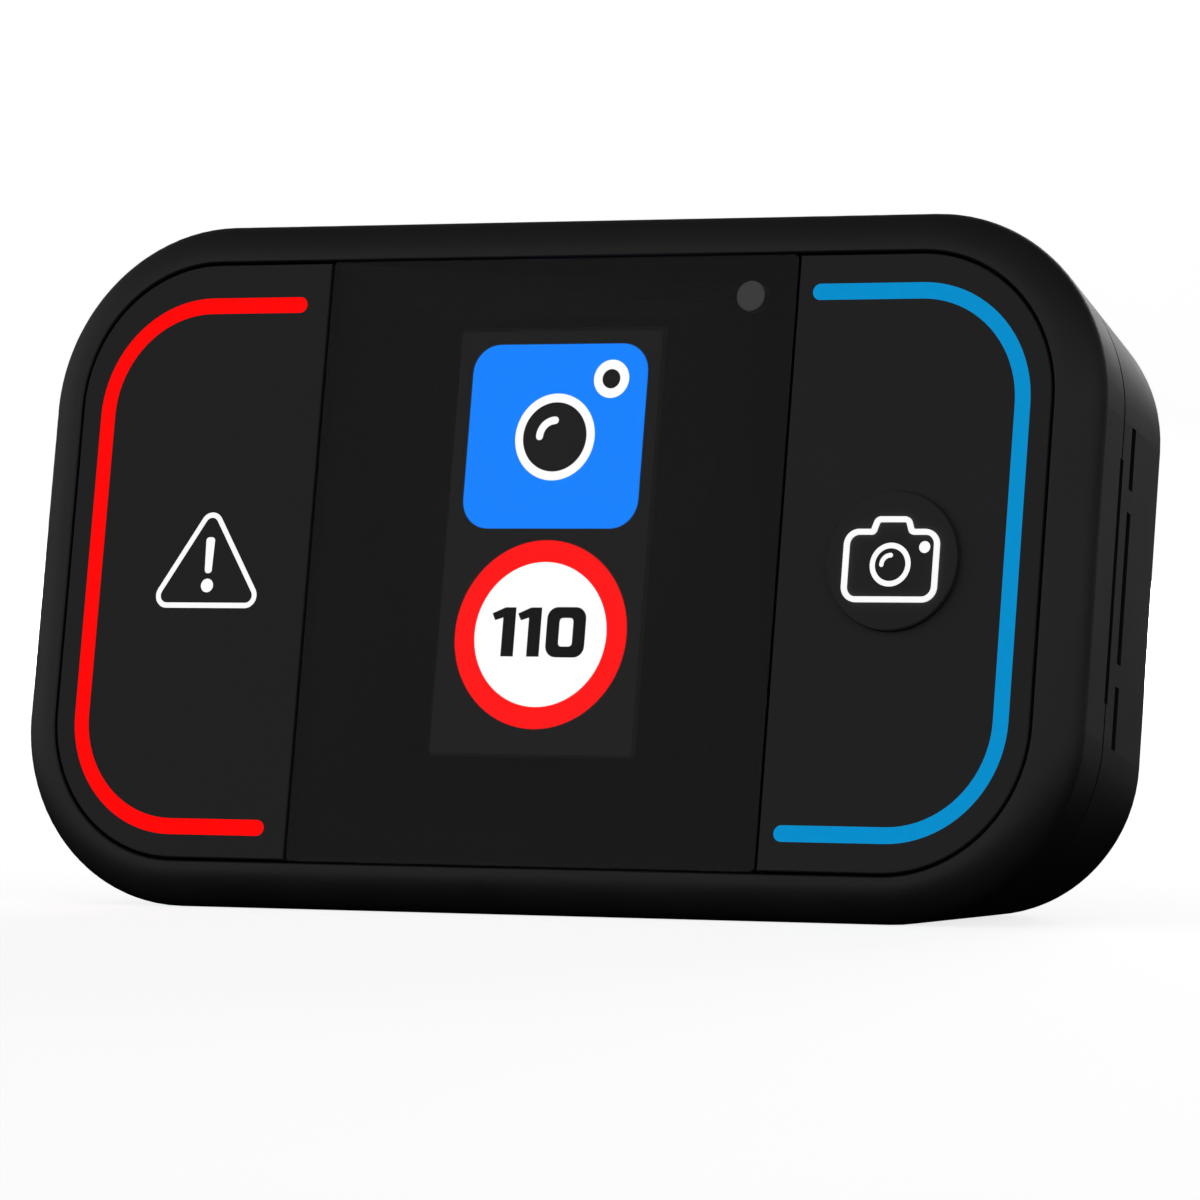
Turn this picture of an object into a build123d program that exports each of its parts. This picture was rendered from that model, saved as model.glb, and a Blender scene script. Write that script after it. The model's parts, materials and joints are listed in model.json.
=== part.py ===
from build123d import *
from math import cos, radians, sin, tan
import os

# A compact in-car radar detector: a drafted two-part case with two large sprung push panels, a
# colour display between them, two light guides, a side-firing speaker and a magnetic back.
#
# Every piece is drawn lying face down: X runs to the right across the face, Y down the face and
# Z into the case, so Z is the depth behind the front face. The last section stands them all up on
# the flat underside of the case. Lengths are millimetres and angles are degrees.

# ---------------------------------------------------------------- case
case_width = 68.0
case_height = 41.0
case_depth = 18.0
corner_radius = 11.2
draft = 9.5
wall = 1.6
rear_wall = 1.8
rear_rounding = 2.2
rim_width = 2.53
widest_depth = 1.8
rim_inner_rounding = 0.15
rim_crown_reach = 1.3
rim_side_reach = 0.9
rim_side_depth = 2.0
panel_gap = 0.16
seam_depth = 6.5
seam_gap = 0.26
seal_inset = 0.3
seam_slit_reach = 0.8
floor_overlap = 0.5
tongue_thickness = 0.56
tongue_height = 0.78
fit_gap = 0.05

# ---------------------------------------------------------------- push panels
split_x = 15.17
cap_thickness = 1.6
cap_rounding = 0.1
press_travel = 0.4
floor_clearance = 1.3
floor_thickness = 1.0
post_radius = 1.2
post_offset = 8.13
post_clearance = 0.4
hook_width = 2.0
hook_thickness = 1.2
hook_nose = 0.6
hook_height = 0.95
hook_offset = 3.43
hook_y = 8.0
hook_clearance = 0.25
pad_rest_gap = 0.05
pad_width = 1.2
pad_gap = 0.3

# ---------------------------------------------------------------- light guides and symbols
guide_inset_x = 4.4
guide_inset_y = 4.85
guide_width = 0.95
guide_radius = 6.6
right_guide_end_x = 16.62
left_guide_end_x = 17.15
left_guide_drop = 0.32
guide_depth = 1.0
leg_radius = 0.4
leg_clearance = 0.35
leg_inset = 7.0
led_length = 1.6
led_width = 0.8
led_height = 0.7
led_gap = 0.6
symbol_depth = 0.15
symbol_stroke = 0.32
glint_width = 0.27
triangle_rounding = 0.75
bar_rounding = 0.2
camera_rounding = 0.9
camera_top_rounding = 0.45
disc_offset = 7.23
disc_y = 0.0
warning_offset = 6.69
disc_radius = 4.05
disc_height = 0.4
disc_rounding = 0.1

# ---------------------------------------------------------------- display
window_thickness = 0.8
window_chamfer = 0.05
window_corner = 0.3
display_width = 15.8
display_height = 28.9
display_y = -0.6
display_clearance = 0.3
active_width = 13.0
active_height = 24.95
active_y = -1.26
mask_thickness = 0.15
mask_margin = 0.2
cell_thickness = 0.8
backlight_thickness = 1.0
retainer_width = 26.0
retainer_height = 29.0
retainer_thickness = 0.6
retainer_screw_x = 11.4
retainer_screw_y = 12.0
retainer_screw_radius = 0.6
retainer_screw_length = 2.3
retainer_head_radius = 1.2
retainer_head_height = 0.6
flex_width = 10.0
flex_thickness = 0.15
flex_bend = 1.0
flex_run = 3.6
flex_drop = 0.6
backlight_corner = 0.6
foam_width = 12.0
foam_height = 22.0
foam_shift = 1.0
retainer_corner = 1.2
retainer_notch = 2.0
connector_length = 2.6
connector_height = 1.0
connector_margin = 0.5
sensor_x = 12.23
sensor_y = -15.48
sensor_radius = 0.88
sensor_ledge = 0.1
sensor_chip_width = 2.0
sensor_chip_height = 1.6

# ---------------------------------------------------------------- board
board_stand = 2.4
board_thickness = 1.0
board_clearance = 1.6
screw_inset_x = 8.5
screw_inset_y = 7.3
screw_radius = 1.0
screw_tip_cover = 0.7
screw_tip_room = 0.2
screw_head_radius = 1.8
screw_head_height = 1.3
screw_socket_radius = 1.1
screw_clearance = 0.15
screw_seat_cover = 2.6
tube_radius = 3.1
boss_radius = 2.6
chip_height = 0.8
processor_side = 8.0
processor_height = 0.9
processor_place = (-3.0, -4.0)
shield_width = 11.0
shield_length = 13.0
shield_height = 1.4
shield_corner = 0.5
shield_place = (4.0, -2.0)
antenna_width = 7.0
antenna_length = 2.0
antenna_height = 1.2
antenna_setback = 1.6
switch_side = 4.5
switch_height = 1.4
plunger_radius = 1.0
plunger_stand = 0.45
plunger_depth = 0.7
plunger_clearance = 0.06

# ---------------------------------------------------------------- power, sound and mounting
usb_width = 8.94
usb_height = 3.26
usb_length = 7.3
usb_shell = 0.3
usb_setback = 0.5
usb_clearance = 0.15
usb_tongue_thickness = 0.7
usb_tongue_width = 6.7
usb_tongue_setback = 0.8
usb_back_thickness = 1.0
battery_length = 32.0
battery_width = 23.0
battery_clearance = 1.7
battery_end_gap = 0.9
battery_rounding = 1.0
battery_pad_thickness = 0.8
lead_radius = 0.45
lead_bend = 1.0
lead_run = 5.8
lead_spacing = 1.8
lead_stand = 1.0
lead_y = 6.0
lead_slant = 1.2
battery_connector_length = 4.0
battery_connector_width = 4.4
battery_connector_height = 2.0
battery_pad_inset_x = 2.0
battery_pad_inset_y = 3.0
speaker_end_gap = 0.3
speaker_height = 5.2
speaker_thickness = 4.3
speaker_back_inset = 9.6
speaker_clearance = 0.4
speaker_recess = 0.6
speaker_edge_x = 1.2
speaker_edge_y = 0.8
cone_edge_x = 1.0
cone_edge_y = 0.6
cone_corner = 0.9
speaker_lead_reach = 1.6
speaker_lead_spacing = 3.0
speaker_lead_bend = 0.9
gasket_thickness = 0.5
gasket_width = 0.6
mesh_thickness = 0.15
slot_depth = 9.15
slot_width = 1.0
slot_long = 8.8
slot_short = 3.6
slot_offset = 7.5
seam_slit_length = 14.1
seam_slit_width = 0.82
magnet_radius = 4.5
magnet_thickness = 1.6
magnet_x = 9.0
magnet_cup = 1.1
magnet_clearance = 0.1
keeper_thickness = 0.6
mount_pad_radius = 14.0
mount_pad_thickness = 0.6

# ---------------------------------------------------------------- values worked out from those above
half_width = case_width / 2
half_height = case_height / 2
draft_slope = tan(radians(draft))
panel_inset = rim_width + panel_gap
seam_front = seam_depth - seam_gap / 2
seam_back = seam_depth + seam_gap / 2
post_x = split_x + post_offset
hook_x = split_x + hook_offset
disc_x = split_x + disc_offset
floor_depth = cap_thickness + floor_clearance
floor_back = floor_depth + floor_thickness
board_depth = floor_back + board_stand
board_inset = wall + board_clearance
pad_height = floor_clearance - press_travel - pad_rest_gap
board_back = board_depth + board_thickness
rear_inside = case_depth - rear_wall
screw_x = half_width - screw_inset_x
screw_y = half_height - screw_inset_y
screw_seat = rear_inside - screw_seat_cover
screw_tip = floor_depth + screw_tip_cover
screw_length = screw_seat - screw_tip
switch_front = board_depth - switch_height
plunger_tip = switch_front - plunger_stand
cell_depth = window_thickness + mask_thickness
backlight_depth = cell_depth + cell_thickness
foam_depth = backlight_depth + backlight_thickness
led_front = board_depth - led_height
leg_tip = led_front - led_gap
magnet_front = rear_inside - magnet_thickness
keeper_front = magnet_front - keeper_thickness
battery_back = keeper_front - battery_pad_thickness
battery_front = board_back + battery_clearance
battery_left = screw_x - tube_radius - battery_end_gap
battery_x = battery_length / 2 - battery_left
speaker_length = 2 * (screw_y - tube_radius - speaker_end_gap)
speaker_back_x = half_width - speaker_back_inset
speaker_depth = board_back + speaker_clearance
usb_centre = board_back + usb_height / 2


def side_inset(depth):
    """How far the drafted side has come in from the widest line at this depth."""
    return (depth - widest_depth) * draft_slope


def outline(inset):
    """The face outline, moved in evenly on all sides."""
    return RectangleRounded(case_width - 2 * inset, case_height - 2 * inset, corner_radius - inset)


def layer(sketch, front, back):
    """A sketch made solid between two depths."""
    return Pos(0, 0, front) * extrude(sketch, back - front)


def block(x, y, width, height, front, back):
    """A box given by its centre on the face, its size and its two depths."""
    return layer(Pos(x, y) * Rectangle(width, height), front, back)


def rod(x, y, radius, front, back):
    """A round pin or hole that runs straight into the case."""
    return layer(Pos(x, y) * Circle(radius), front, back)


def drafted(extra_inset, front, back):
    """A solid that follows the drafted outside of the case, moved in by extra_inset."""
    start = outline(side_inset(front) + extra_inset)
    return Pos(0, 0, front) * extrude(start, back - front, taper=draft)


def left(piece):
    """A right-hand piece turned into its left-hand twin."""
    return mirror(piece, about=Plane.YZ)


def both_sides(piece):
    """The piece and its copy on the other side of the centre line."""
    return piece + left(piece)


def four_corners(x, y):
    return [(sx * x, sy * y) for sx in (-1, 1) for sy in (-1, 1)]


def around_case(profile):
    """A cross-section carried right round the case; its X is the inset and its Y the depth."""
    corner_x = half_width - corner_radius
    corner_y = half_height - corner_radius
    section = Plane(origin=(half_width, 0, 0), x_dir=(-1, 0, 0), z_dir=(0, 1, 0)) * profile
    axis = Axis((corner_x, corner_y, 0), (0, 0, 1))
    at_corner = Pos(0, corner_y, 0) * section
    quarter = extrude(section, amount=corner_y, dir=(0, 1, 0))
    quarter += revolve(at_corner, axis=axis, revolution_arc=90)
    quarter += extrude(at_corner.rotate(axis, 90), amount=corner_x, dir=(-1, 0, 0))
    half = quarter + mirror(quarter, about=Plane.XZ)
    return both_sides(half)


# ---------------------------------------------------------------- case pieces
def rim_profile():
    """Front rim, drafted outer wall and the step that carries the floor."""
    slope = radians(draft)
    crown = rim_width - rim_inner_rounding
    side_start = (side_inset(rim_side_depth), rim_side_depth)
    side_pull_x = side_start[0] - rim_side_reach * sin(slope)
    side_pull = (side_pull_x, side_start[1] - rim_side_reach * cos(slope))
    rounding = Bezier((crown, 0), (crown - rim_crown_reach, 0), side_pull, side_start)
    sides = Polyline(
        side_start,
        (side_inset(seam_front), seam_front),
        (side_inset(seam_front) + wall, seam_front),
        (side_inset(floor_back) + wall, floor_back),
        (rim_width + floor_overlap, floor_back),
        (rim_width + floor_overlap, floor_depth),
        (rim_width, floor_depth),
        (rim_width, rim_inner_rounding),
    )
    inner = RadiusArc((rim_width, rim_inner_rounding), (crown, 0), rim_inner_rounding)
    return make_face([rounding, sides, inner])


def hook_slot(x, y):
    width = hook_width + 2 * hook_clearance
    height = hook_thickness + 2 * hook_clearance
    return block(x, y, width, height, floor_depth, floor_back)


def front_bezel():
    window_half = split_x - panel_gap / 2
    body = around_case(rim_profile())
    body += layer(outline(rim_width), floor_depth, floor_back)
    frame_height = case_height - 2 * rim_width
    body += block(0, 0, 2 * window_half, frame_height, cell_depth, floor_back)
    tongue_inset = side_inset(seam_front) + wall
    tongue = outline(tongue_inset - tongue_thickness) - outline(tongue_inset)
    body += layer(tongue, seam_front - wall, seam_front + tongue_height)
    for x, y in four_corners(screw_x, screw_y):
        body += rod(x, y, boss_radius, floor_back, board_depth)
    opening_width = display_width + 2 * display_clearance
    opening_height = display_height + 2 * display_clearance
    body -= block(0, display_y, opening_width, opening_height, 0, floor_back)
    channel_end = display_y + display_height / 2 + 2 * flex_bend + display_clearance
    channel_start = display_y
    channel_length = channel_end - channel_start
    channel_width = flex_width + 2 * display_clearance
    channel_y = (channel_start + channel_end) / 2
    body -= block(0, channel_y, channel_width, channel_length, backlight_depth, floor_back)
    body -= rod(sensor_x, sensor_y, sensor_radius - sensor_ledge, cell_depth, floor_back)
    for x, y in four_corners(retainer_screw_x, retainer_screw_y):
        body -= rod(x, y, retainer_screw_radius, floor_back - retainer_screw_length, floor_back)
    for x, y in four_corners(screw_x, screw_y):
        body -= rod(x, y, screw_radius, screw_tip - screw_tip_room, board_depth)
    for side in (-1, 1):
        body -= rod(side * post_x, 0, post_radius + post_clearance, floor_depth, floor_back)
        for x, y in guide_leg_places(left_guide_drop if side < 0 else 0):
            body -= rod(side * x, y, leg_radius + leg_clearance, floor_depth, floor_back)
        for turn in (-1, 1):
            body -= hook_slot(side * hook_x, turn * hook_y)
    return body - seam_slit()


def seam_slit():
    """The wider, deeper stretch of the seam on the right-hand side."""
    outer_x = half_width - side_inset(seam_depth)
    front = seam_depth - seam_slit_width / 2
    back = seam_depth + seam_slit_width / 2
    return block(outer_x, 0, 2 * seam_slit_reach, seam_slit_length, front, back)


def case_seal():
    outer = side_inset(seam_depth) + seal_inset
    inner = side_inset(seam_front) + wall - tongue_thickness - fit_gap
    ring = layer(outline(outer) - outline(inner), seam_front, seam_back)
    return ring - seam_slit()


def rear_shell():
    body = drafted(0, seam_back, case_depth)
    body = fillet(body.faces().sort_by(Axis.Z)[-1].edges(), rear_rounding)
    body -= drafted(wall, seam_back, rear_inside)
    rebate = side_inset(seam_front) + wall - tongue_thickness - fit_gap
    body -= layer(outline(rebate), seam_back, seam_front + tongue_height + fit_gap)
    for x, y in four_corners(screw_x, screw_y):
        body += rod(x, y, tube_radius, board_back + fit_gap, rear_inside + rear_wall / 2)
    body += speaker_chamber()
    for side in (-1, 1):
        cup = Circle(magnet_radius + magnet_cup) - Circle(magnet_radius + magnet_clearance)
        body += layer(Pos(side * magnet_x, 0) * cup, magnet_front, rear_inside)
    for x, y in four_corners(screw_x, screw_y):
        body -= rod(x, y, screw_radius + screw_clearance, board_back, case_depth)
        body -= rod(x, y, screw_head_radius + 2 * screw_clearance, screw_seat, case_depth)
    body -= rod(0, 0, mount_pad_radius, case_depth - mount_pad_thickness, case_depth)
    body -= speaker_slots()
    body -= usb_opening()
    return body - seam_slit()


def speaker_frame(growth, width):
    """A ring drawn facing sideways, the shape of the speaker's sealing edge."""
    length = speaker_length + 2 * growth
    height = speaker_height + 2 * growth
    return Rectangle(length, height) - Rectangle(length - 2 * width, height - 2 * width)


def facing_right(sketch, start_x, end_x):
    """A sketch seen from the right-hand side of the case, made solid between two X values."""
    centre = (start_x, 0, speaker_depth + speaker_height / 2)
    plane = Plane(origin=centre, x_dir=(0, 1, 0), z_dir=(1, 0, 0))
    return extrude(plane * sketch, amount=end_x - start_x, dir=(1, 0, 0))


def speaker_face_x():
    return speaker_back_x + speaker_thickness + gasket_thickness + mesh_thickness


def speaker_chamber():
    """The ribs inside the right-hand wall that the speaker's gasket seals against."""
    wall_x = half_width - side_inset(speaker_depth + speaker_height) - wall / 2
    return facing_right(speaker_frame(0, gasket_width), speaker_face_x(), wall_x)


def speaker_slots():
    sides = [(0, slot_long), (-slot_offset, slot_short), (slot_offset, slot_short)]
    cuts = [Pos(y, 0) * Rectangle(length, slot_width) for y, length in sides]
    drop = slot_depth - speaker_depth - speaker_height / 2
    return facing_right(Pos(0, drop) * Sketch(children=cuts), speaker_face_x(), half_width)


def usb_opening():
    width = usb_width + 2 * usb_clearance
    height = usb_height + 2 * usb_clearance
    plane = Plane(origin=(-half_width, 0, usb_centre), x_dir=(0, 1, 0), z_dir=(-1, 0, 0))
    hole = plane * RectangleRounded(width, height, height / 2 - 0.01)
    return extrude(hole, amount=2 * wall + side_inset(usb_centre), dir=(1, 0, 0))


def case_screws():
    group = []
    for x, y in four_corners(screw_x, screw_y):
        screw = rod(x, y, screw_radius, screw_tip, screw_seat)
        screw += rod(x, y, screw_head_radius, screw_seat, screw_seat + screw_head_height)
        socket = Pos(x, y) * RegularPolygon(screw_socket_radius, 6)
        head_back = screw_seat + screw_head_height
        screw -= layer(socket, head_back - screw_head_height / 2, head_back)
        group.append(screw)
    return Compound(children=group)


# ---------------------------------------------------------------- push panels
def panel_sketch():
    inner_x = split_x + panel_gap / 2
    half = Pos(inner_x + case_width / 2, 0) * Rectangle(case_width, case_height)
    return outline(panel_inset) & half


def guide_sketch(end_x, drop):
    """The thin U along the outer edge of a right-hand panel, with round ends."""
    centre_x = half_width - guide_inset_x
    centre_y = half_height - guide_inset_y
    reach = guide_width / 2
    outer = RectangleRounded(2 * (centre_x + reach), 2 * (centre_y + reach), guide_radius + reach)
    inner = RectangleRounded(2 * (centre_x - reach), 2 * (centre_y - reach), guide_radius - reach)
    beyond_end = Pos(end_x + half_width, 0) * Rectangle(case_width, case_height)
    strip = (outer - inner) & beyond_end
    for turn in (-1, 1):
        strip += Pos(end_x, turn * centre_y) * Circle(reach)
    return Pos(0, drop) * strip


def guide_leg_places(drop):
    centre_x = half_width - guide_inset_x
    centre_y = half_height - guide_inset_y
    leg_x = centre_x - leg_inset
    return [(centre_x, drop), (leg_x, drop - centre_y), (leg_x, drop + centre_y)]


def guide_on_right(end_x, drop):
    guide = layer(guide_sketch(end_x, drop), 0, guide_depth)
    for x, y in guide_leg_places(drop):
        guide += rod(x, y, leg_radius, guide_depth, leg_tip)
    return guide


def cap_on_right(end_x, drop):
    """A push panel with its guide groove, switch post and two retaining hooks."""
    cap = layer(panel_sketch(), 0, cap_thickness)
    cap = fillet(cap.faces().sort_by(Axis.Z)[0].edges(), cap_rounding)
    cap -= layer(guide_sketch(end_x, drop), 0, guide_depth)
    for x, y in guide_leg_places(drop):
        cap -= rod(x, y, leg_radius, guide_depth, cap_thickness)
    cap += rod(post_x, 0, post_radius, cap_thickness, plunger_tip)
    nose_start = floor_back + fit_gap
    for turn in (-1, 1):
        y = turn * hook_y
        cap += block(hook_x, y, hook_width, hook_thickness, cap_thickness, nose_start + hook_height)
        nose_y = y + turn * hook_nose / 2
        nose_width = hook_thickness + hook_nose
        cap += block(hook_x, nose_y, hook_width, nose_width, nose_start, nose_start + hook_height)
    return cap


def right_button():
    cap = cap_on_right(right_guide_end_x, 0)
    disc = rod(disc_x, disc_y, disc_radius, -disc_height, cap_thickness / 2)
    cap += fillet(disc.faces().sort_by(Axis.Z)[0].edges(), disc_rounding)
    return cap - layer(camera_sketch(), -disc_height, symbol_depth - disc_height)


def left_button():
    cap = left(cap_on_right(left_guide_end_x, left_guide_drop))
    return cap - layer(warning_sketch(), 0, symbol_depth)


def line_drawn(shape):
    """Only the edge of a shape, one stroke wide."""
    return shape - offset(shape, amount=-symbol_stroke)


def warning_sketch():
    """A rounded triangle with an exclamation mark, generic."""
    apex_y, base_y, base_half = -3.5, 2.91, 4.0
    triangle = Polygon((0, apex_y), (base_half, base_y), (-base_half, base_y), align=None)
    triangle = fillet(triangle.vertices(), triangle_rounding)
    bar_top, bar_bottom = -1.34, 0.82
    bar_top_half, bar_bottom_half = 0.3, 0.23
    bar = Polygon(
        (-bar_top_half, bar_top),
        (bar_top_half, bar_top),
        (bar_bottom_half, bar_bottom),
        (-bar_bottom_half, bar_bottom),
        align=None,
    )
    bar = fillet(bar.vertices(), bar_rounding)
    dot = Pos(0, 1.56) * Circle(0.41)
    return Pos(-(split_x + warning_offset), 0) * (line_drawn(triangle) + bar + dot)


def camera_sketch():
    """A plain camera: a rounded body with a raised middle, a lens ring, a glint and a dot, generic."""
    body_half, body_top, body_base = 2.94, -1.78, 2.42
    hump_base_half, hump_top_half, hump_top = 1.3, 1.06, -2.5
    right_side = [
        (body_half, body_base),
        (body_half, body_top),
        (hump_base_half, body_top),
        (hump_top_half, hump_top),
    ]
    left_side = [(-x, y) for x, y in reversed(right_side)]
    body = Polygon(*right_side, *left_side, align=None)
    body_corners = body.vertices().filter_by(lambda corner: abs(corner.X) > 2 * hump_base_half)
    body = fillet(body_corners, camera_rounding)
    top_corners = body.vertices().filter_by(lambda corner: corner.Y < hump_top + fit_gap)
    body = fillet(top_corners, camera_top_rounding)
    lens_place = Pos(-0.05, 0.25)
    lens = line_drawn(lens_place * Circle(1.26))
    shine = lens_place * CenterArc((0, 0), 0.54, 180, 90)
    glint = trace(shine, glint_width)
    for end in (shine @ 0, shine @ 1):
        glint += Pos(end.X, end.Y) * Circle(glint_width / 2)
    dot = Pos(2.0, -0.76) * Circle(0.34)
    return Pos(disc_x, disc_y) * (line_drawn(body) + lens + glint + dot)


def right_pad():
    """Silicone bump stop under the panel, round the switch post."""
    inner = post_radius + pad_gap
    ring = Circle(inner + pad_width) - Circle(inner)
    return layer(Pos(post_x, 0) * ring, cap_thickness, cap_thickness + pad_height)


def right_switch():
    body = block(post_x, 0, switch_side, switch_side, switch_front, board_depth)
    depth = plunger_depth + press_travel + plunger_clearance
    body -= rod(post_x, 0, plunger_radius + plunger_clearance, switch_front, switch_front + depth)
    return body


def right_plunger():
    return rod(post_x, 0, plunger_radius, plunger_tip, switch_front + plunger_depth)


def leds_on_right(drop):
    group = []
    for x, y in guide_leg_places(drop):
        upright = y == drop
        along_x = led_width if upright else led_length
        along_y = led_length if upright else led_width
        group.append(block(x, y, along_x, along_y, led_front, board_depth))
    return Compound(children=group)


# ---------------------------------------------------------------- display
def display_window():
    window = layer(window_sketch(), 0, window_thickness)
    window = chamfer(window.faces().sort_by(Axis.Z)[0].edges(), window_chamfer)
    return window - rod(sensor_x, sensor_y, sensor_radius, 0, window_thickness)


def sensor_lens():
    return rod(sensor_x, sensor_y, sensor_radius, 0, window_thickness)


def light_sensor():
    return block(sensor_x, sensor_y, sensor_chip_width, sensor_chip_height, led_front, board_depth)


def window_sketch():
    height = case_height - 2 * rim_width - 2 * fit_gap
    return RectangleRounded(2 * split_x - panel_gap, height, window_corner)


def window_mask():
    """Black film behind the window, open over the lit area and the light sensor."""
    opening_width = active_width + 2 * mask_margin
    opening_height = active_height + 2 * mask_margin
    film = window_sketch() - Pos(0, active_y) * Rectangle(opening_width, opening_height)
    film -= Pos(sensor_x, sensor_y) * Circle(sensor_radius)
    return layer(film, window_thickness, cell_depth)


def display_panel():
    return block(0, display_y, display_width, display_height, cell_depth, backlight_depth)


def display_backlight():
    tray = Pos(0, display_y) * RectangleRounded(display_width, display_height, backlight_corner)
    return layer(tray, backlight_depth, foam_depth)


def display_foam():
    return block(0, display_y - foam_shift, foam_width, foam_height, foam_depth, floor_back)


def display_retainer():
    back = floor_back + retainer_thickness
    plate = layer(RectangleRounded(retainer_width, retainer_height, retainer_corner), floor_back, back)
    notch_y = retainer_height / 2
    plate -= block(0, notch_y, flex_width + 2 * display_clearance, 2 * retainer_notch, floor_back, back)
    for x, y in four_corners(retainer_screw_x, retainer_screw_y):
        plate -= rod(x, y, retainer_screw_radius, floor_back, back)
    return plate


def retainer_screws():
    seat = floor_back + retainer_thickness
    group = []
    for x, y in four_corners(retainer_screw_x, retainer_screw_y):
        shank = rod(x, y, retainer_screw_radius, floor_back - retainer_screw_length, seat)
        group.append(shank + rod(x, y, retainer_head_radius, seat, seat + retainer_head_height))
    return Compound(children=group)


def connector_end():
    """Where the display's tail enters its connector, down the face."""
    return display_y + display_height / 2 - display_clearance


def display_flex():
    """The flat tail that folds behind the display down to the board."""
    half = flex_thickness / 2
    top = foam_depth + half
    bottom = board_depth - flex_drop
    far = display_y + display_height / 2 + flex_bend + display_clearance
    start = far - flex_run
    points = [(start, top), (far, top), (far, bottom), (connector_end(), bottom)]
    route = FilletPolyline(*points, radius=flex_bend)
    strip = trace(route, flex_thickness)
    plane = Plane(origin=(-flex_width / 2, 0, 0), x_dir=(0, 1, 0), z_dir=(1, 0, 0))
    return extrude(plane * strip, amount=flex_width, dir=(1, 0, 0))


def display_connector():
    y = connector_end() - connector_length / 2
    width = flex_width + 2 * connector_margin
    return block(0, y, width, connector_length, board_depth - connector_height, board_depth)


# ---------------------------------------------------------------- board
def main_board():
    board = layer(outline(board_inset), board_depth, board_back)
    for x, y in four_corners(screw_x, screw_y):
        board -= rod(x, y, screw_radius + screw_clearance, board_depth, board_back)
    return board


def processor():
    front = board_depth - processor_height
    return block(*processor_place, processor_side, processor_side, front, board_depth)


def radio_shield():
    lid = RectangleRounded(shield_width, shield_length, shield_corner)
    return Pos(*shield_place) * layer(lid, board_back, board_back + shield_height)


def radio_antenna():
    y = board_inset + antenna_setback - half_height
    return block(0, y, antenna_width, antenna_length, board_depth - antenna_height, board_depth)


def board_chips():
    places_and_sizes = [
        (6.5, -6.0, 3.0, 3.0),
        (6.5, 2.0, 4.0, 3.0),
        (-8.0, 5.0, 3.0, 2.5),
        (-10.5, -5.0, 2.5, 2.0),
    ]
    chips = [block(*place, board_depth - chip_height, board_depth) for place in places_and_sizes]
    return Compound(children=chips)


# ---------------------------------------------------------------- power
def usb_mouth_x():
    return -(half_width - side_inset(usb_centre)) + usb_setback


def usb_socket():
    """Metal shell with its contact tongue and closed back, opening to the left."""
    mouth = usb_mouth_x()
    plane = Plane(origin=(mouth, 0, usb_centre), x_dir=(0, 1, 0), z_dir=(1, 0, 0))
    outer = RectangleRounded(usb_width, usb_height, usb_height / 2 - 0.01)
    inner_height = usb_height - 2 * usb_shell
    inner = RectangleRounded(usb_width - 2 * usb_shell, inner_height, inner_height / 2 - 0.01)
    shell = extrude(plane * outer, amount=usb_length, dir=(1, 0, 0))
    shell -= extrude(plane * inner, amount=usb_length - usb_back_thickness, dir=(1, 0, 0))
    tongue_start = mouth + usb_tongue_setback
    tongue_plane = Plane(origin=(tongue_start, 0, usb_centre), x_dir=(0, 1, 0), z_dir=(1, 0, 0))
    tongue = tongue_plane * Rectangle(usb_tongue_width, usb_tongue_thickness)
    return shell + extrude(tongue, amount=usb_length - usb_tongue_setback - fit_gap, dir=(1, 0, 0))


def battery():
    cell = block(battery_x, 0, battery_length, battery_width, battery_front, battery_back)
    largest = 0.45 * (battery_back - battery_front)
    return fillet(cell.edges().filter_by(Axis.Y), min(battery_rounding, largest))


def battery_pad():
    length = battery_length - 2 * battery_pad_inset_x
    width = battery_width - 2 * battery_pad_inset_y
    return block(battery_x, 0, length, width, battery_back, keeper_front)


def battery_right():
    return battery_x + battery_length / 2


def battery_connector():
    x = battery_right() + lead_run + battery_connector_length / 2
    back = board_back + battery_connector_height
    return block(x, lead_y, battery_connector_length, battery_connector_width, board_back, back)


def battery_leads():
    """Two short insulated leads from the cell to its connector."""
    start_x = battery_right()
    end_x = start_x + lead_run
    high_end_x = start_x + (lead_run - lead_slant) / 2
    low_start_x = end_x - (lead_run - lead_slant) / 2
    high = (battery_front + battery_back) / 2
    low = board_back + lead_stand
    leads = []
    for side in (-1, 1):
        y = lead_y + side * lead_spacing / 2
        points = [
            (start_x, y, high),
            (high_end_x, y, high),
            (low_start_x, y, low),
            (end_x, y, low),
        ]
        route = FilletPolyline(*points, radius=lead_bend)
        ring = Plane(origin=points[0], z_dir=(1, 0, 0)) * Circle(lead_radius)
        leads.append(sweep(ring, path=route))
    return Compound(children=leads)


# ---------------------------------------------------------------- sound
def speaker():
    """A small box speaker whose cone faces the right-hand side."""
    face = speaker_back_x + speaker_thickness
    floor = face - speaker_recess
    box = facing_right(Rectangle(speaker_length, speaker_height), speaker_back_x, face)
    mouth_length = speaker_length - 2 * speaker_edge_x
    mouth_height = speaker_height - 2 * speaker_edge_y
    box -= facing_right(RectangleRounded(mouth_length, mouth_height, speaker_edge_x), floor, face)
    cone_length = mouth_length - 2 * cone_edge_x
    cone_height = mouth_height - 2 * cone_edge_y
    cone = RectangleRounded(cone_length, cone_height, cone_corner)
    return box + facing_right(cone, floor, floor + speaker_recess / 2)


def speaker_gasket():
    start = speaker_back_x + speaker_thickness
    return facing_right(speaker_frame(0, gasket_width), start, start + gasket_thickness)


def speaker_mesh():
    end = speaker_face_x()
    return facing_right(Rectangle(speaker_length, speaker_height), end - mesh_thickness, end)


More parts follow.
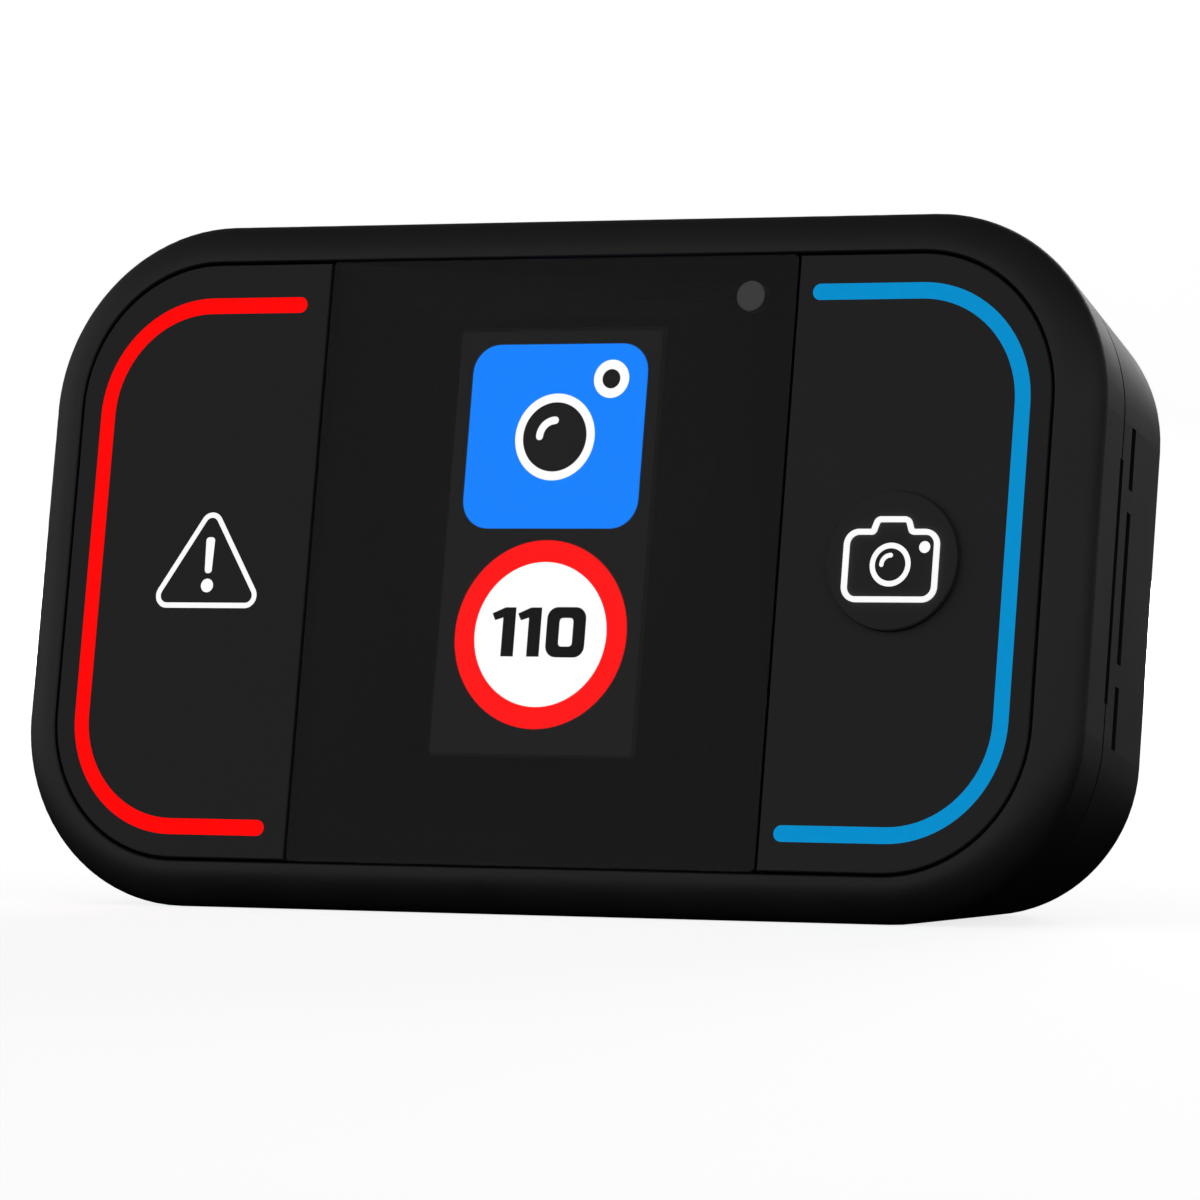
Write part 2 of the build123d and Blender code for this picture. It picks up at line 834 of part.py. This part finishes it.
def speaker_leads():
    """Two stiff leads from the speaker's back down to the board."""
    lead_x = speaker_back_x - speaker_lead_reach
    depth = speaker_depth + speaker_height / 2
    leads = []
    for side in (-1, 1):
        y = side * speaker_lead_spacing / 2
        points = [(speaker_back_x, y, depth), (lead_x, y, depth), (lead_x, y, board_back)]
        route = FilletPolyline(*points, radius=speaker_lead_bend)
        ring = Plane(origin=(speaker_back_x, y, depth), z_dir=(-1, 0, 0)) * Circle(lead_radius)
        leads.append(sweep(ring, path=route))
    return Compound(children=leads)


# ---------------------------------------------------------------- magnetic mounting
def mount_magnets():
    places = [Pos(side * magnet_x, 0) for side in (-1, 1)]
    magnets = [layer(place * Circle(magnet_radius), magnet_front, rear_inside) for place in places]
    return Compound(children=magnets)


def keeper_plate():
    plate = SlotCenterToCenter(2 * magnet_x, 2 * (magnet_radius + magnet_cup))
    return layer(plate, keeper_front, magnet_front)


def mount_pad():
    return rod(0, 0, mount_pad_radius - fit_gap, case_depth - mount_pad_thickness, case_depth)


# ---------------------------------------------------------------- standing up and writing
pieces = {
    "front_bezel": front_bezel(),
    "rear_shell": rear_shell(),
    "case_seal": case_seal(),
    "case_screws": case_screws(),
    "left_button": left_button(),
    "right_button": right_button(),
    "left_light_guide": left(guide_on_right(left_guide_end_x, left_guide_drop)),
    "right_light_guide": guide_on_right(right_guide_end_x, 0),
    "warning_symbol": layer(warning_sketch(), 0, symbol_depth),
    "camera_symbol": layer(camera_sketch(), -disc_height, symbol_depth - disc_height),
    "left_button_pad": left(right_pad()),
    "right_button_pad": right_pad(),
    "left_switch": left(right_switch()),
    "right_switch": right_switch(),
    "left_switch_plunger": left(right_plunger()),
    "right_switch_plunger": right_plunger(),
    "left_leds": left(leds_on_right(left_guide_drop)),
    "right_leds": leds_on_right(0),
    "display_window": display_window(),
    "sensor_lens": sensor_lens(),
    "light_sensor": light_sensor(),
    "window_mask": window_mask(),
    "display_panel": display_panel(),
    "display_backlight": display_backlight(),
    "display_foam": display_foam(),
    "display_retainer": display_retainer(),
    "retainer_screws": retainer_screws(),
    "display_flex": display_flex(),
    "display_connector": display_connector(),
    "main_board": main_board(),
    "processor": processor(),
    "radio_shield": radio_shield(),
    "radio_antenna": radio_antenna(),
    "board_chips": board_chips(),
    "usb_socket": usb_socket(),
    "battery": battery(),
    "battery_pad": battery_pad(),
    "battery_connector": battery_connector(),
    "battery_leads": battery_leads(),
    "speaker": speaker(),
    "speaker_gasket": speaker_gasket(),
    "speaker_mesh": speaker_mesh(),
    "speaker_leads": speaker_leads(),
    "mount_magnets": mount_magnets(),
    "keeper_plate": keeper_plate(),
    "mount_pad": mount_pad(),
}

# The underside is drafted, so standing on it leans the whole case back by the draft angle. The
# origin is the middle of that flat underside.
foot_front = rim_side_depth
foot_back = case_depth - rear_rounding
foot_depth = (foot_front + foot_back) / 2
foot_y = half_height - side_inset(foot_depth)
stand = Rot(-90 - draft, 0, 0) * Pos(0, -foot_y, -foot_depth)

os.makedirs("parts", exist_ok=True)
for name, piece in pieces.items():
    export_step(stand * piece, f"parts/{name}.step")
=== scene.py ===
import json
import math

import bpy
from mathutils import Matrix, Vector


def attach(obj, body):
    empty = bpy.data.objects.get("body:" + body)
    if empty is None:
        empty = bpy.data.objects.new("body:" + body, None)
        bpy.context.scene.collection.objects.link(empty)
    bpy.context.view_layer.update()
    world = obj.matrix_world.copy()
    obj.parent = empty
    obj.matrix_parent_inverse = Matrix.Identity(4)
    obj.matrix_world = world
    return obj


# A compact in-car radar detector standing on its flat underside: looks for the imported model.
# Texture sizes, bump depths and the display picture are in millimetres, all else in metres.

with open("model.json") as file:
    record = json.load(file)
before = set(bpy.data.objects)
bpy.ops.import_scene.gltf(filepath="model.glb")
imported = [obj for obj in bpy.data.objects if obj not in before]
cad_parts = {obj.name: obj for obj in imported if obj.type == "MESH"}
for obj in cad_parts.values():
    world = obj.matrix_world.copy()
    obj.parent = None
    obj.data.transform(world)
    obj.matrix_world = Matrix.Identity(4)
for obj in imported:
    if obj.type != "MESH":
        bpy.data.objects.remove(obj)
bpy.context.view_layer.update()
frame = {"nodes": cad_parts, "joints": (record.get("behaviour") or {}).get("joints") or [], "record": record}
MM = 0.001

# ---------------------------------------------------------------- named values
# How opaque each of the window's two faces is, and the window's specular level.
WINDOW_TINT = 0.5
WINDOW_SHINE = 0.4

# Noise stays mostly between these values, and stains are drawn with a narrower, harder range.
NOISE_RANGE = (0.3, 0.7)
STAIN_RANGE = (0.35, 0.65)

# Stretch of the noise that draws the lines of brushed metal.
BRUSHED = (1.0, 0.06, 1.0)

# A wave texture draws this many bands in a turn of two pi.
WAVE_BANDS = 2
WAVE_TURN = 6.283

# Sockets of Blender's Mix node in its colour mode.
MIX_FACTOR = 0
MIX_FIRST = 6
MIX_SECOND = 7
MIX_RESULT = 2

# Display picture: right and up from the window's centre, as flat layers in front of the glass.
PICTURE_SHIFT = -0.15
LAYER = 0.02
GLASS_GAP = 0.005
SCREEN_PLACE = (0.0, 1.26)
SCREEN_SIZE = (13.0, 24.95)
SCREEN_ROUNDING = 0.15
TILE_PLACE = (0.08, 7.5)
TILE_SIZE = (11.34, 10.92)
TILE_ROUNDING = 1.7
LENS_OFFSET = (-0.01, -0.05)
LENS_RING_RADIUS = 2.57
LENS_RADIUS = 2.05
GLINT_RADIUS = 0.98
GLINT_WIDTH = 0.45
GLINT_ANGLES = (92, 178)
SPOT_OFFSET = (3.37, 3.37)
SPOT_RADIUS = 1.13
SPOT_CENTRE_RADIUS = 0.57
SIGN_PLACE = (0.12, -4.2)
SIGN_RADIUS = 5.55
SIGN_FACE_RADIUS = 4.26
DIGIT_BOTTOM = -5.51
DIGIT_HEIGHT = 2.89
FIRST_RIGHT_EDGE = -1.54
SECOND_RIGHT_EDGE = 0.13
NOUGHT_X = 1.77
NOUGHT_SIZE = (2.5, 2.95)
NOUGHT_ROUNDING = 0.68
NOUGHT_HOLE_SIZE = (0.9, 1.68)
NOUGHT_HOLE_ROUNDING = 0.22

# Camera: its place, its turn, tilt and roll in degrees, and its lens and sensor in millimetres.
VIEW_PLACE = (0.18503, -0.3786, 0.01932)
VIEW_TURN = 25.9
VIEW_TILT = -0.149
VIEW_ROLL = -0.241
LENS = 215.5
SENSOR_WIDTH = 36.0
NEAR_LIMIT = 0.01

# Sky: height above the horizon as its sine squeezed to 0-1, and the light that comes from there.
SKY_LEVELS = [(0.0, 0.0), (0.4, 0.0), (0.53, 0.57), (0.62, 0.57), (0.84, 0.16), (1.0, 0.1)]
# Share of that light left behind the object, and where towards there the change starts and ends.
SKY_BEHIND = 0.3
BEHIND_START = -0.3
BEHIND_END = 0.5
# Level of the sky where the camera itself sees it, and of the floor's own glow.
SKY_SEEN = 4.0
FLOOR_GLOW = 0.79
LIGHT_AIM = (0, 0, 0.02)


# ---------------------------------------------------------------- the leaning face
press = next(joint for joint in frame["joints"] if joint["name"] == "left_button_press")
INWARD = Vector(press["axis"]).normalized()
RIGHT = Vector((1, 0, 0))
UPWARD = RIGHT.cross(INWARD)
OUTWARD = -INWARD


def extent(node):
    """Lowest and highest coordinate of a CAD node along right, up and inward, in metres."""
    points = [vertex.co for vertex in frame["nodes"][node].data.vertices]
    spans = []
    for direction in (RIGHT, UPWARD, INWARD):
        along = [point.dot(direction) for point in points]
        spans.append((min(along), max(along)))
    return spans


window_right, window_up, window_inward = extent("display_window")
window_front = min(window_inward)
glass_depth = (min(extent("display_panel")[-1]) - window_front) / MM
FACE_CENTRE = RIGHT * sum(window_right) / 2 + UPWARD * sum(window_up) / 2
FACE_CENTRE += INWARD * window_front
FACE = Matrix.Translation(FACE_CENTRE) @ Matrix((RIGHT, UPWARD, OUTWARD)).transposed().to_4x4()


# ---------------------------------------------------------------- material helpers
def grey(level):
    return (level, level, level)


def scaled(colour, share):
    return tuple(channel * share for channel in colour)


class Recipe:
    """One procedural material, built from object-space textures around a Principled shader."""

    def __init__(self, name, roughness, metallic=0.0, specular=0.5):
        self.material = bpy.data.materials.new(name)
        self.material.use_nodes = True
        self.nodes = self.material.node_tree.nodes
        self.links = self.material.node_tree.links
        self.shader = self.nodes["Principled BSDF"]
        self.set("Roughness", roughness)
        self.set("Metallic", metallic)
        self.set("Specular IOR Level", specular)
        self.coordinates = self.nodes.new("ShaderNodeTexCoord").outputs["Object"]

    def set(self, socket, value):
        self.shader.inputs[socket].default_value = value

    def stretched(self, scale):
        mapping = self.nodes.new("ShaderNodeMapping")
        mapping.inputs["Scale"].default_value = scale
        self.links.new(self.coordinates, mapping.inputs["Vector"])
        return mapping.outputs["Vector"]

    def noise(self, size_mm, detail=2.0, roughness=0.5, stretch=None):
        texture = self.nodes.new("ShaderNodeTexNoise")
        texture.inputs["Scale"].default_value = 1.0 / (size_mm * MM)
        texture.inputs["Detail"].default_value = detail
        texture.inputs["Roughness"].default_value = roughness
        source = self.stretched(stretch) if stretch else self.coordinates
        self.links.new(source, texture.inputs["Vector"])
        return texture.outputs["Fac"]

    def cells(self, size_mm, feature="F1", randomness=1.0):
        texture = self.nodes.new("ShaderNodeTexVoronoi")
        texture.feature = feature
        texture.inputs["Scale"].default_value = 1.0 / (size_mm * MM)
        texture.inputs["Randomness"].default_value = randomness
        self.links.new(self.coordinates, texture.inputs["Vector"])
        return texture.outputs["Distance"]

    def waves(self, size_mm, direction):
        texture = self.nodes.new("ShaderNodeTexWave")
        texture.bands_direction = direction
        texture.inputs["Scale"].default_value = 1.0 / (size_mm * MM) / WAVE_TURN * WAVE_BANDS
        self.links.new(self.coordinates, texture.inputs["Vector"])
        return texture.outputs["Fac"]

    def ranged(self, value, low, high, start, end):
        """The value between start and end, mapped to low and high."""
        node = self.nodes.new("ShaderNodeMapRange")
        limits = {"From Min": start, "From Max": end, "To Min": low, "To Max": high}
        for socket, number in limits.items():
            node.inputs[socket].default_value = number
        self.links.new(value, node.inputs["Value"])
        return node.outputs["Result"]

    def spread(self, value, limits=NOISE_RANGE):
        """The value between the limits, mapped to 0 and 1."""
        return self.ranged(value, 0.0, 1.0, *limits)

    def blended(self, factor, first, second):
        node = self.nodes.new("ShaderNodeMix")
        node.data_type = "RGBA"
        node.inputs[MIX_FIRST].default_value = (*first, 1.0)
        node.inputs[MIX_SECOND].default_value = (*second, 1.0)
        self.links.new(factor, node.inputs[MIX_FACTOR])
        return node.outputs[MIX_RESULT]

    def colour(self, factor, first, second):
        self.links.new(self.blended(factor, first, second), self.shader.inputs["Base Color"])

    def roughen(self, value, low, high):
        self.links.new(self.ranged(value, low, high, *NOISE_RANGE), self.shader.inputs["Roughness"])

    def bump(self, height, depth_mm, strength=1.0, after=None):
        node = self.nodes.new("ShaderNodeBump")
        node.inputs["Strength"].default_value = strength
        node.inputs["Distance"].default_value = depth_mm * MM
        self.links.new(height, node.inputs["Height"])
        if after is not None:
            self.links.new(after, node.inputs["Normal"])
        self.links.new(node.outputs["Normal"], self.shader.inputs["Normal"])
        return node.outputs["Normal"]


def moulded(name, colour, roughness, grain_mm, grain_depth_mm, specular=0.5):
    """Spark-eroded plastic: fine even grain, slight cloudiness and handling marks."""
    recipe = Recipe(name, roughness, specular=specular)
    cloud = recipe.noise(7.0, detail=3.0)
    grain = recipe.noise(grain_mm, detail=2.5, roughness=0.6)
    recipe.colour(recipe.spread(cloud), scaled(colour, 0.88), scaled(colour, 1.12))
    recipe.roughen(cloud, roughness - 0.03, roughness + 0.04)
    recipe.bump(grain, grain_depth_mm)
    return recipe.material


def soft(name, colour, roughness, pore_mm, pore_depth_mm):
    """Rubber, silicone or foam: little shine, small pores."""
    recipe = Recipe(name, roughness, specular=0.3)
    pores = recipe.cells(pore_mm)
    cloud = recipe.noise(4.0)
    recipe.colour(recipe.spread(cloud), scaled(colour, 0.8), scaled(colour, 1.2))
    recipe.roughen(cloud, roughness - 0.05, min(1.0, roughness + 0.05))
    recipe.bump(pores, pore_depth_mm, strength=0.6)
    return recipe.material


def metal(name, colour, roughness, stretch=None):
    """Metal with faint stains and fine scratches, which are lines where it is brushed."""
    recipe = Recipe(name, roughness, metallic=1.0)
    scratches = recipe.noise(0.12, detail=4.0, stretch=stretch)
    stains = recipe.noise(3.0)
    recipe.colour(recipe.spread(stains, STAIN_RANGE), scaled(colour, 0.85), colour)
    recipe.roughen(scratches, roughness - 0.06, roughness + 0.1)
    recipe.bump(scratches, 0.004, strength=0.5)
    return recipe.material


def lit(name, colour, strength, base, pitch_mm):
    """A lit surface with a faint structure that dims it a little here and there."""
    recipe = Recipe(name, 0.6, specular=0.15)
    structure = recipe.noise(pitch_mm, detail=1.0)
    recipe.set("Base Color", (*base, 1.0))
    tone = recipe.blended(recipe.spread(structure), scaled(colour, 0.97), colour)
    recipe.links.new(tone, recipe.shader.inputs["Emission Color"])
    recipe.set("Emission Strength", strength)
    return recipe.material


def clear_window(name):
    """A thin smoked window: half see-through at each face, with a soft reflection."""
    recipe = Recipe(name, 0.12, specular=WINDOW_SHINE)
    smudge = recipe.noise(6.0, detail=3.0)
    recipe.colour(recipe.spread(smudge), grey(0.004), grey(0.006))
    recipe.roughen(smudge, 0.1, 0.16)
    recipe.set("Alpha", WINDOW_TINT)
    return recipe.material


def laminate(name):
    """Circuit board: solder mask with a hint of the tracks beneath."""
    recipe = Recipe(name, 0.3)
    tracks = recipe.cells(1.1, feature="DISTANCE_TO_EDGE", randomness=0.6)
    edge = recipe.ranged(tracks, 1.0, 0.0, 0.05, 0.09)
    recipe.colour(edge, (0.004, 0.055, 0.022), (0.012, 0.13, 0.05))
    recipe.bump(tracks, 0.02, strength=0.4)
    return recipe.material


def woven(name, colour, pitch_mm, depth_mm):
    """Fine mesh: two crossed sets of threads."""
    recipe = Recipe(name, 0.8, specular=0.2)
    across = recipe.waves(pitch_mm, "Y")
    along = recipe.waves(pitch_mm, "Z")
    recipe.colour(across, scaled(colour, 0.6), scaled(colour, 1.5))
    threads = recipe.bump(across, depth_mm, strength=0.8)
    recipe.bump(along, depth_mm, strength=0.8, after=threads)
    return recipe.material


# ---------------------------------------------------------------- one material per slot
# moulded: colour, roughness, size and depth of its grain, specular level where it isn't 0.5
# soft: colour, roughness, size and depth of its pores
# metal: colour, roughness, stretch of its scratches
# lit: colour, strength, colour of the body itself, size of its structure
# woven: colour, pitch and depth of its threads
LOOKS = {
    "case_black": (moulded, grey(0.017), 0.45, 0.14, 0.006),
    "panel_black": (moulded, grey(0.033), 0.62, 0.09, 0.004, 0.4),
    "seal_black": (soft, grey(0.004), 0.9, 0.15, 0.01),
    "guide_red": (lit, (1.0, 0.0, 0.0), 1.0, (0.1, 0.0, 0.0), 0.5),
    "guide_blue": (lit, (0.0, 0.265, 0.6), 1.0, (0.0, 0.01, 0.03), 0.5),
    "symbol_white": (lit, grey(1.0), 0.8, grey(0.8), 0.5),
    "window_clear": (clear_window,),
    "sensor_grey": (moulded, (0.135, 0.135, 0.136), 0.4, 0.3, 0.003),
    "display_glass": (moulded, grey(0.002), 0.25, 0.5, 0.001),
    "mask_black": (moulded, grey(0.004), 0.7, 0.3, 0.001, 0.1),
    "foam_grey": (soft, (0.06, 0.06, 0.065), 0.95, 0.25, 0.08),
    "steel": (metal, (0.55, 0.55, 0.56), 0.35, BRUSHED),
    "screw_steel": (metal, (0.62, 0.62, 0.64), 0.25),
    "magnet_nickel": (metal, (0.66, 0.66, 0.68), 0.18),
    "flex_amber": (moulded, (0.42, 0.15, 0.03), 0.3, 0.3, 0.002),
    "board_green": (laminate,),
    "chip_black": (moulded, (0.015, 0.015, 0.016), 0.5, 0.08, 0.006),
    "ceramic_white": (moulded, (0.7, 0.68, 0.62), 0.3, 0.3, 0.003),
    "connector_cream": (moulded, (0.6, 0.55, 0.43), 0.5, 0.2, 0.004),
    "led_white": (moulded, (0.85, 0.84, 0.75), 0.3, 0.2, 0.002),
    "switch_metal": (metal, grey(0.6), 0.3, BRUSHED),
    "plunger_black": (moulded, grey(0.03), 0.5, 0.1, 0.004),
    "silicone_grey": (soft, (0.2, 0.2, 0.21), 0.7, 0.3, 0.01),
    "battery_foil": (metal, (0.62, 0.63, 0.64), 0.4),
    "lead_red": (moulded, (0.25, 0.02, 0.02), 0.45, 0.3, 0.004),
    "speaker_black": (moulded, (0.02, 0.02, 0.022), 0.5, 0.2, 0.006),
    "mesh_black": (woven, grey(0.01), 0.12, 0.02),
    "pad_rubber": (soft, (0.04, 0.04, 0.042), 0.85, 1.1, 0.25),
}
MATERIALS = {slot: maker(slot, *values) for slot, (maker, *values) in LOOKS.items()}

for subpart in frame["record"]["subparts"]:
    for slot in frame["nodes"][subpart["node"]].material_slots:
        slot.material = MATERIALS[subpart["material_slot"]]


# ---------------------------------------------------------------- outlines
def around(centre, radius, angle):
    """The point at an angle in radians on a circle."""
    return (centre[0] + radius * math.cos(angle), centre[1] + radius * math.sin(angle))


def circle(centre, radius, steps=72):
    turn = 2 * math.pi / steps
    return [around(centre, radius, i * turn) for i in range(steps)]


def rounded_box(centre, size, radius, steps=10):
    """A box with round corners."""
    points = []
    for side_x, side_y, start in ((1, 1, 0), (-1, 1, 90), (-1, -1, 180), (1, -1, 270)):
        corner_x = centre[0] + side_x * (size[0] / 2 - radius)
        corner_y = centre[1] + side_y * (size[1] / 2 - radius)
        for i in range(steps + 1):
            angle = math.radians(start + 90 * i / steps)
            points.append(around((corner_x, corner_y), radius, angle))
    return points


def arc_band(centre, radius, width, start, end, steps=18, end_steps=8):
    """A thick arc with round ends, between two angles in degrees."""
    half = width / 2
    points = []
    for offset, first, last, turned in ((half, start, end, 0.0), (-half, end, start, math.pi)):
        for i in range(steps + 1):
            angle = math.radians(first + (last - first) * i / steps)
            points.append(around(centre, radius + offset, angle))
        end_angle = math.radians(last)
        end_centre = around(centre, radius, end_angle)
        for i in range(1, end_steps):
            points.append(around(end_centre, half, end_angle + math.pi * i / end_steps + turned))
    return points


def numeral_one(right_edge):
    """A numeral one with a square-cut flag."""
    stem_width = 0.8
    flag_reach = 0.72
    shoulder = 0.12
    flag_top_drop = 0.36
    flag_foot_inset = 0.2
    flag_foot_drop = 0.76
    stem_notch_drop = 0.6
    left_edge = right_edge - stem_width
    flag_edge = left_edge - flag_reach
    top = DIGIT_BOTTOM + DIGIT_HEIGHT
    return [
        (right_edge, DIGIT_BOTTOM),
        (right_edge, top),
        (left_edge + shoulder, top),
        (flag_edge, top - flag_top_drop),
        (flag_edge + flag_foot_inset, top - flag_foot_drop),
        (left_edge, top - stem_notch_drop),
        (left_edge, DIGIT_BOTTOM),
    ]


# ---------------------------------------------------------------- display picture
def plate(name, order, material, *outlines):
    """One flat shape of the picture, in a layer counted forwards from the display glass."""
    curve = bpy.data.curves.new(name, "CURVE")
    curve.dimensions = "2D"
    curve.fill_mode = "BOTH"
    curve.extrude = LAYER / 2 * MM
    for outline in outlines:
        spline = curve.splines.new("POLY")
        spline.points.add(len(outline) - 1)
        for point, (x, y) in zip(spline.points, outline):
            point.co = (x * MM, y * MM, 0, 1)
        spline.use_cyclic_u = True
    shape = bpy.data.objects.new(name, curve)
    mesh = bpy.data.meshes.new_from_object(shape)
    piece = bpy.data.objects.new(name, mesh)
    bpy.data.objects.remove(shape)
    bpy.context.scene.collection.objects.link(piece)
    back = glass_depth - GLASS_GAP - order * LAYER
    offset = (PICTURE_SHIFT * MM, 0, (LAYER / 2 - back) * MM)
    piece.matrix_world = FACE @ Matrix.Translation(offset)
    mesh.materials.clear()
    mesh.materials.append(material)
    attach(piece, "case")


def screen(name, colour):
    """A lit part of the picture, bright enough to read through both faces of the window."""
    through_both_faces = (1.0 - WINDOW_TINT) ** 2
    return lit(name, colour, 1.0 / through_both_faces, grey(0.0), 0.1)


def display_picture():
    """A lit dark screen with a camera tile above a round speed sign."""
    black = screen("screen_black", (0.0056, 0.0054, 0.0056))
    blue = screen("screen_blue", (0.0, 0.2159, 1.0))
    red = screen("screen_red", (1.0, 0.0, 0.0))
    white = screen("screen_white", grey(1.0))
    ink = screen("screen_ink", grey(0.0))

    plate("screen_field", 0, black, rounded_box(SCREEN_PLACE, SCREEN_SIZE, SCREEN_ROUNDING))

    lens = (TILE_PLACE[0] + LENS_OFFSET[0], TILE_PLACE[1] + LENS_OFFSET[1])
    spot = (TILE_PLACE[0] + SPOT_OFFSET[0], TILE_PLACE[1] + SPOT_OFFSET[1])
    plate("camera_tile", 1, blue, rounded_box(TILE_PLACE, TILE_SIZE, TILE_ROUNDING))
    plate("tile_lens_ring", 2, white, circle(lens, LENS_RING_RADIUS))
    plate("tile_lens", 3, black, circle(lens, LENS_RADIUS))
    plate("tile_glint", 4, white, arc_band(lens, GLINT_RADIUS, GLINT_WIDTH, *GLINT_ANGLES))
    plate("tile_spot", 2, white, circle(spot, SPOT_RADIUS))
    plate("tile_spot_centre", 3, black, circle(spot, SPOT_CENTRE_RADIUS))

    nought = (NOUGHT_X, DIGIT_BOTTOM + DIGIT_HEIGHT / 2)
    nought_outline = rounded_box(nought, NOUGHT_SIZE, NOUGHT_ROUNDING)
    nought_hole = rounded_box(nought, NOUGHT_HOLE_SIZE, NOUGHT_HOLE_ROUNDING)
    plate("sign_rim", 1, red, circle(SIGN_PLACE, SIGN_RADIUS))
    plate("sign_face", 2, white, circle(SIGN_PLACE, SIGN_FACE_RADIUS))
    plate("sign_first", 3, ink, numeral_one(FIRST_RIGHT_EDGE))
    plate("sign_second", 3, ink, numeral_one(SECOND_RIGHT_EDGE))
    plate("sign_third", 3, ink, nought_outline, nought_hole)


# ---------------------------------------------------------------- floor, light and camera
def camera():
    data = bpy.data.cameras.new("camera")
    data.sensor_width = SENSOR_WIDTH
    data.lens = LENS
    data.clip_start = NEAR_LIMIT
    view = bpy.data.objects.new("camera", data)
    view.location = VIEW_PLACE
    view.rotation_euler = [math.radians(angle) for angle in (90 + VIEW_TILT, VIEW_ROLL, VIEW_TURN)]
    bpy.context.scene.collection.objects.link(view)
    bpy.context.scene.camera = view


def backdrop():
    """A pale floor that curves up into a backdrop behind the object."""
    width, near, far, height = 6.0, -2.5, 1.6, 3.0
    bend, bend_steps = 0.6, 12
    profile = [(near, 0.0), (far - bend, 0.0)]
    for i in range(1, bend_steps + 1):
        angle = math.radians(90 * i / bend_steps)
        profile.append((far - bend + bend * math.sin(angle), bend - bend * math.cos(angle)))
    profile.append((far, height))
    verts = [(side * width / 2, y, z) for y, z in profile for side in (-1, 1)]
    faces = [(2 * i, 2 * i + 1, 2 * i + 3, 2 * i + 2) for i in range(len(profile) - 1)]
    mesh = bpy.data.meshes.new("backdrop")
    mesh.from_pydata(verts, [], faces)
    for face in mesh.polygons:
        face.use_smooth = True
    floor = bpy.data.objects.new("backdrop", mesh)
    bpy.context.scene.collection.objects.link(floor)
    floor.rotation_euler[2] = math.radians(VIEW_TURN)
    recipe = Recipe("backdrop_paper", 0.9, specular=0.1)
    recipe.colour(recipe.noise(400.0), grey(0.93), grey(0.95))
    recipe.set("Emission Color", (*grey(1.0), 1.0))
    recipe.set("Emission Strength", FLOOR_GLOW)
    mesh.materials.append(recipe.material)
    floor.visible_glossy = False
    floor.visible_diffuse = False


def sky():
    """Soft light from all round: strongest level with the object, dark above and below it."""
    world = bpy.data.worlds.new("studio")
    bpy.context.scene.world = world
    world.use_nodes = True
    nodes, links = world.node_tree.nodes, world.node_tree.links
    background = nodes["Background"]
    direction = nodes.new("ShaderNodeTexCoord").outputs["Generated"]
    split = nodes.new("ShaderNodeSeparateXYZ")
    links.new(direction, split.inputs["Vector"])

    height = nodes.new("ShaderNodeMapRange")
    height.inputs["From Min"].default_value = -1.0
    height.inputs["From Max"].default_value = 1.0
    links.new(split.outputs["Z"], height.inputs["Value"])
    ramp = nodes.new("ShaderNodeValToRGB")
    links.new(height.outputs["Result"], ramp.inputs["Fac"])
    ramp.color_ramp.interpolation = "EASE"
    stops = ramp.color_ramp.elements
    while len(stops) < len(SKY_LEVELS):
        stops.new(0.5)
    for stop, (place, level) in zip(stops, SKY_LEVELS):
        stop.position = place
        stop.color = (*grey(level), 1.0)

    behind = nodes.new("ShaderNodeMapRange")
    behind.interpolation_type = "SMOOTHSTEP"
    limits = {"From Min": BEHIND_START, "From Max": BEHIND_END, "To Min": 1.0, "To Max": SKY_BEHIND}
    for socket, number in limits.items():
        behind.inputs[socket].default_value = number
    links.new(split.outputs["Y"], behind.inputs["Value"])
    links.new(behind.outputs["Result"], background.inputs["Strength"])

    ray = nodes.new("ShaderNodeLightPath")
    seen = nodes.new("ShaderNodeMix")
    seen.data_type = "RGBA"
    seen.inputs[MIX_SECOND].default_value = (*grey(SKY_SEEN), 1.0)
    links.new(ray.outputs["Is Camera Ray"], seen.inputs[MIX_FACTOR])
    links.new(ramp.outputs["Color"], seen.inputs[MIX_FIRST])
    links.new(seen.outputs[MIX_RESULT], background.inputs["Color"])


def area_light(name, place, width, height, power):
    data = bpy.data.lights.new(name, "AREA")
    data.shape = "RECTANGLE"
    data.size = width
    data.size_y = height
    data.energy = power
    light = bpy.data.objects.new(name, data)
    light.location = place
    light.rotation_euler = (Vector(LIGHT_AIM) - Vector(place)).to_track_quat("-Z", "Y").to_euler()
    bpy.context.scene.collection.objects.link(light)
    return light


def studio():
    backdrop()
    sky()
    area_light("back_light", (-0.05, 1.1, 0.38), 0.5, 0.35, 1.5)
    # The rear fill lights the back, and makes no highlight on the edges seen from the front.
    rear_fill = area_light("rear_fill", (-0.35, 1.1, 0.09), 0.4, 0.1, 9.0)
    rear_fill.visible_glossy = False
    bpy.context.scene.view_settings.view_transform = "Standard"


display_picture()
camera()
studio()
